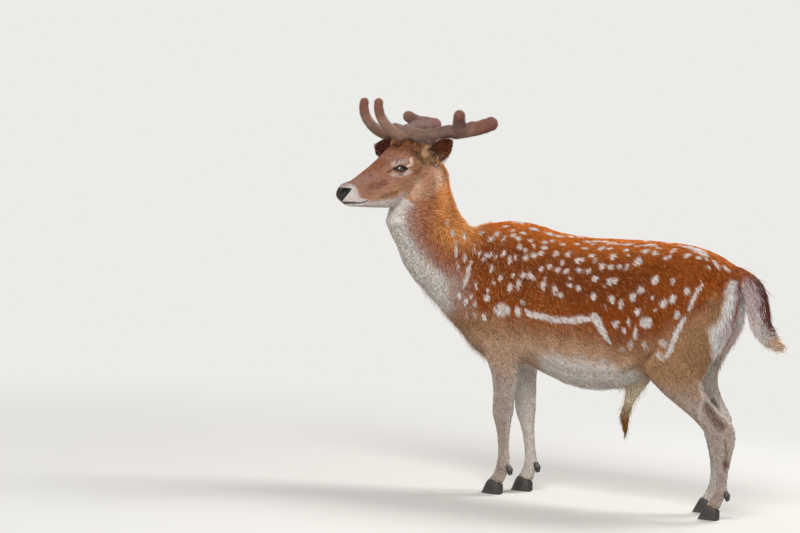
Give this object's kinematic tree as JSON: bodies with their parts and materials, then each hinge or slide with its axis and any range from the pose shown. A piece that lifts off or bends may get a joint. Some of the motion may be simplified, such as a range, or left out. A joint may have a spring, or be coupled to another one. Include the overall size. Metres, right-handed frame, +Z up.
{
  "type": "fallow deer",
  "caption": "Standing fallow buck in summer coat, head turned to its left, with velvet antlers, cloven hooves and a hanging tail. Still display figure.",
  "frame": {"origin": "on the floor below the middle of the whole outline, seen from above", "axes": "+Z up, -X the way the body faces, -Y the animal's left side"},
  "size_m": [1.316, 0.4225, 1.1432],
  "materials": {
    "spotted_coat": "short summer hair, red-brown with white spots, pale below",
    "face_coat": "very short hair, tan, pale round the eye, muzzle and chin",
    "pale_coat": "very short hair, pale greyish tan",
    "tail_hair": "long hair, dark above and white below",
    "velvet": "short plush skin over the growing antler",
    "hoof_horn": "dark smooth horn",
    "eye": "wet and dark"
  },
  "bodies": {
    "root": {"antler_left_beam": "velvet", "antler_left_brow_tine": "velvet", "antler_left_front_point": "velvet", "antler_left_palm": "velvet", "antler_right_beam": "velvet", "antler_right_brow_tine": "velvet", "antler_right_front_point": "velvet", "antler_right_palm": "velvet", "claw_fore_left_inner": "hoof_horn", "claw_fore_left_outer": "hoof_horn", "claw_fore_right_inner": "hoof_horn", "claw_fore_right_outer": "hoof_horn", "claw_hind_left_inner": "hoof_horn", "claw_hind_left_outer": "hoof_horn", "claw_hind_right_inner": "hoof_horn", "claw_hind_right_outer": "hoof_horn", "dewclaw_fore_left_inner": "hoof_horn", "dewclaw_fore_left_outer": "hoof_horn", "dewclaw_fore_right_inner": "hoof_horn", "dewclaw_fore_right_outer": "hoof_horn", "dewclaw_hind_left_inner": "hoof_horn", "dewclaw_hind_left_outer": "hoof_horn", "dewclaw_hind_right_inner": "hoof_horn", "dewclaw_hind_right_outer": "hoof_horn", "ear_left": "face_coat", "ear_right": "face_coat", "eye_left": "eye", "eye_right": "eye", "fore_left_lower": "pale_coat", "fore_left_upper": "spotted_coat", "fore_right_lower": "pale_coat", "fore_right_upper": "spotted_coat", "head": "face_coat", "hind_left_lower": "pale_coat", "hind_left_upper": "spotted_coat", "hind_right_lower": "pale_coat", "hind_right_upper": "spotted_coat", "neck": "spotted_coat", "sheath": "pale_coat", "tail": "tail_hair", "trunk": "spotted_coat"}
  },
  "joints": []
}
